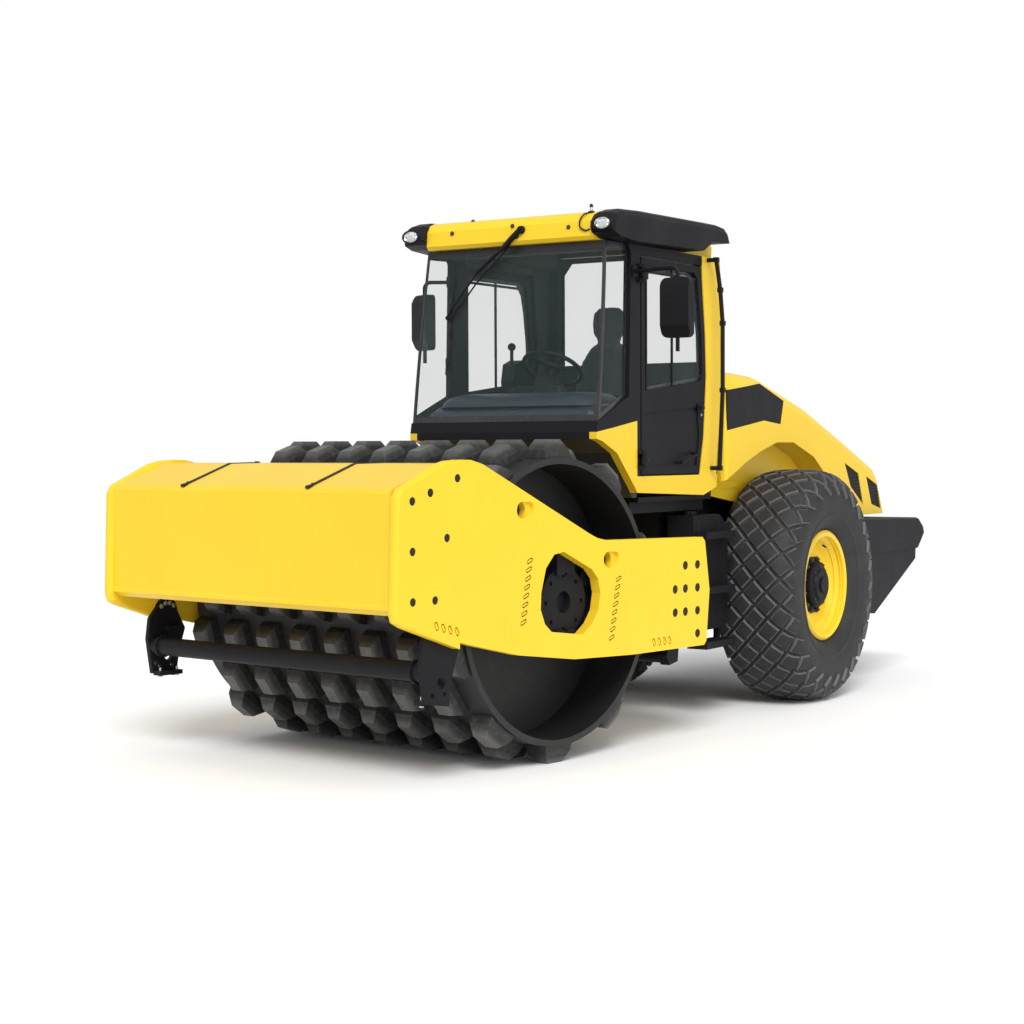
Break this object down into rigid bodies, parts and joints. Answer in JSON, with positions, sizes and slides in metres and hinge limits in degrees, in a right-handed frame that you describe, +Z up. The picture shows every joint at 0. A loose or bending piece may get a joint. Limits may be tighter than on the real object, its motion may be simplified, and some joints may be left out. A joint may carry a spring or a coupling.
{
  "type": "padfoot roller",
  "caption": "Single-drum soil compactor with a padfoot drum in a front frame that steers and oscillates at a centre joint, two wide rear tyres, a glazed cab and a hinged hood.",
  "frame": {"origin": "centre of the bounding box in plan, on the ground", "axes": "+X is the way the rear frame drives forward, +Y is to the machine's left, +Z is up; the front frame stands turned 9 degrees to the right about the kingpin"},
  "size_m": [6.8726, 2.7124, 3.154],
  "materials": {
    "yellow_paint": "satin yellow machine paint",
    "black_paint": "satin black machine paint",
    "black_plastic": "matt black moulded plastic",
    "slate_plastic": "grained dark blue-grey plastic",
    "seat_cloth": "dark woven seat cloth",
    "drum_steel": "dark painted steel",
    "rod_chrome": "polished chromed rod",
    "tyre_rubber": "black moulded rubber",
    "clear_glass": "clear safety glass"
  },
  "bodies": {
    "rear_frame": {"rear_chassis": "black_paint", "rear_axle": "black_paint", "engine_block": "drum_steel", "tank_left": "black_paint", "tank_right": "black_paint", "counterweight": "black_paint", "cab_floor": "black_paint", "cab_sill": "yellow_paint", "cab_rear": "yellow_paint", "cab_front": "black_paint", "cab_roof": "yellow_paint", "visor_left": "black_plastic", "visor_right": "black_plastic", "windscreen": "clear_glass", "side_glass_left": "clear_glass", "side_glass_right": "clear_glass", "rear_glass": "clear_glass", "right_panel": "black_paint", "right_glass": "clear_glass", "dashboard": "slate_plastic", "steering_wheel": "black_plastic", "seat_base": "black_plastic", "seat_cushion": "seat_cloth", "seat_back": "seat_cloth", "mirror_left": "black_paint", "mirror_right": "black_paint", "grab_rail": "black_paint"},
    "hood": {"hood": "yellow_paint", "hood_grilles": "black_paint"},
    "door": {"door": "black_paint", "door_glass": "clear_glass"},
    "wheel_left": {"tyre_left": "tyre_rubber", "rim_left": "yellow_paint", "hub_left": "black_paint"},
    "wheel_right": {"tyre_right": "tyre_rubber", "rim_right": "yellow_paint", "hub_right": "black_paint"},
    "yoke": {"centre_joint": "drum_steel"},
    "front_frame": {"side_plate_left": "yellow_paint", "side_plate_right": "yellow_paint", "front_box": "yellow_paint", "rear_crossmember": "yellow_paint", "scraper_front": "black_paint", "scraper_rear": "black_paint", "drum_mount_left": "drum_steel", "drum_mount_right": "drum_steel"},
    "drum": {"drum": "drum_steel"},
    "barrel_left": {"barrel_left": "black_paint"},
    "rod_left": {"rod_left": "rod_chrome"},
    "barrel_right": {"barrel_right": "black_paint"},
    "rod_right": {"rod_right": "rod_chrome"}
  },
  "joints": [
    {"name": "steer", "type": "hinge", "parent": "rear_frame", "child": "yoke", "pos_m": [0.35197, 0.25264, 0.76], "axis": [0, 0, 1], "range_deg": [-26, 44]},
    {"name": "oscillation", "type": "hinge", "parent": "yoke", "child": "front_frame", "pos_m": [0.35197, 0.25264, 0.76], "axis": [0.9877, -0.1564, 0], "range_deg": [-10, 10]},
    {"name": "drum_roll", "type": "hinge", "parent": "front_frame", "child": "drum", "pos_m": [1.88289, 0.01017, 0.89], "axis": [0.1564, 0.9877, 0], "continuous": true},
    {"name": "wheel_left_roll", "type": "hinge", "parent": "rear_frame", "child": "wheel_left", "pos_m": [-1.17803, 1.03264, 0.79], "axis": [0, 1, 0], "continuous": true},
    {"name": "wheel_right_roll", "type": "hinge", "parent": "rear_frame", "child": "wheel_right", "pos_m": [-1.17803, -0.52736, 0.79], "axis": [0, 1, 0], "continuous": true},
    {"name": "door_swing", "type": "hinge", "parent": "rear_frame", "child": "door", "pos_m": [0.84698, 0.93464, 1.66], "axis": [0, 0, 1], "range_deg": [-100, 0]},
    {"name": "hood_lift", "type": "hinge", "parent": "rear_frame", "child": "hood", "pos_m": [-0.35002, 0.25264, 2.242], "axis": [0, 1, 0], "range_deg": [0, 45]},
    {"name": "cylinder_left_turn", "type": "hinge", "parent": "rear_frame", "child": "barrel_left", "pos_m": [-0.54802, 0.60264, 0.76], "axis": [0, 0, 1], "range_deg": [-2.79, 4.65]},
    {"name": "rod_left_slide", "type": "slide", "parent": "barrel_left", "child": "rod_left", "axis": [0.9999, -0.0136, 0], "range_m": [-0.2742, 0.1622]},
    {"name": "cylinder_right_turn", "type": "hinge", "parent": "rear_frame", "child": "barrel_right", "pos_m": [-0.54802, -0.09736, 0.76], "axis": [0, 0, 1], "range_deg": [-3.54, 5.92]},
    {"name": "rod_right_slide", "type": "slide", "parent": "barrel_right", "child": "rod_right", "axis": [0.9996, -0.0266, 0], "range_m": [-0.1569, 0.2652]}
  ],
  "couplings": [
    {"joint": "cylinder_left_turn", "follows": "steer", "ratio": 0.1031},
    {"joint": "rod_left_slide", "follows": "steer", "m_per_rad": -0.35642},
    {"joint": "cylinder_right_turn", "follows": "steer", "ratio": 0.13192},
    {"joint": "rod_right_slide", "follows": "steer", "m_per_rad": 0.34471}
  ]
}
